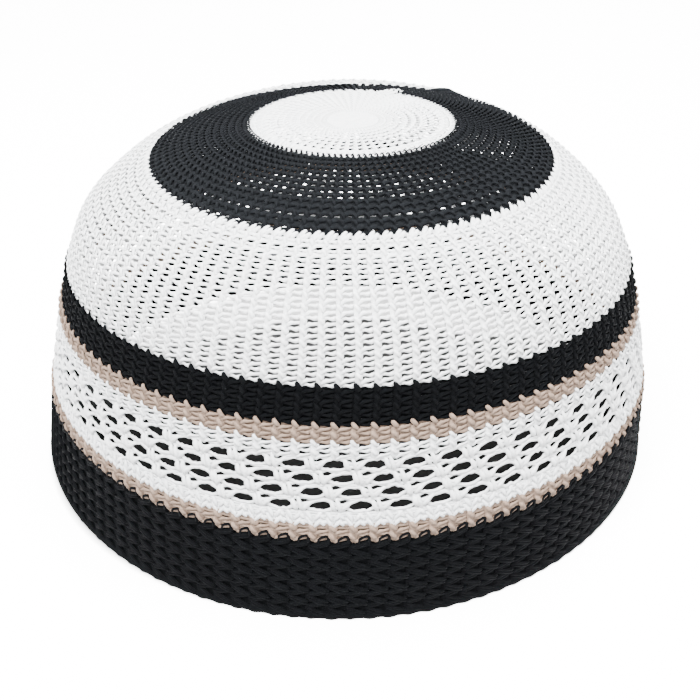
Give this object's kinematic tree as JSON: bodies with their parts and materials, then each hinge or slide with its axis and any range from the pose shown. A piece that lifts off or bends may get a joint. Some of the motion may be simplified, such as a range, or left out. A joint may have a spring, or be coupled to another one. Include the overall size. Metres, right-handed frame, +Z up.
{
  "type": "knitted kufi cap",
  "caption": "Round brimless knitted cap: flat crown, tapered side with striped bands, a pierced openwork band, and a thick double hem that it rests on. Hollow for a head.",
  "frame": {"origin": "on the surface it rests on, at the middle of the rim's outline", "axes": "+Z up towards the crown, -Y towards the front that the picture shows, +X to the right in the picture"},
  "size_m": [0.1878, 0.1798, 0.099],
  "materials": {
    "white_yarn": "soft matt knitted yarn",
    "black_yarn": "soft matt knitted yarn",
    "beige_yarn": "soft matt knitted yarn"
  },
  "bodies": {
    "root": {"hem_band": "black_yarn", "lower_stripe": "beige_yarn", "openwork_band": "white_yarn", "upper_stripe": "beige_yarn", "upper_band": "black_yarn", "dome_wall": "white_yarn", "crown_ring": "black_yarn", "crown_disc": "white_yarn"}
  },
  "joints": []
}
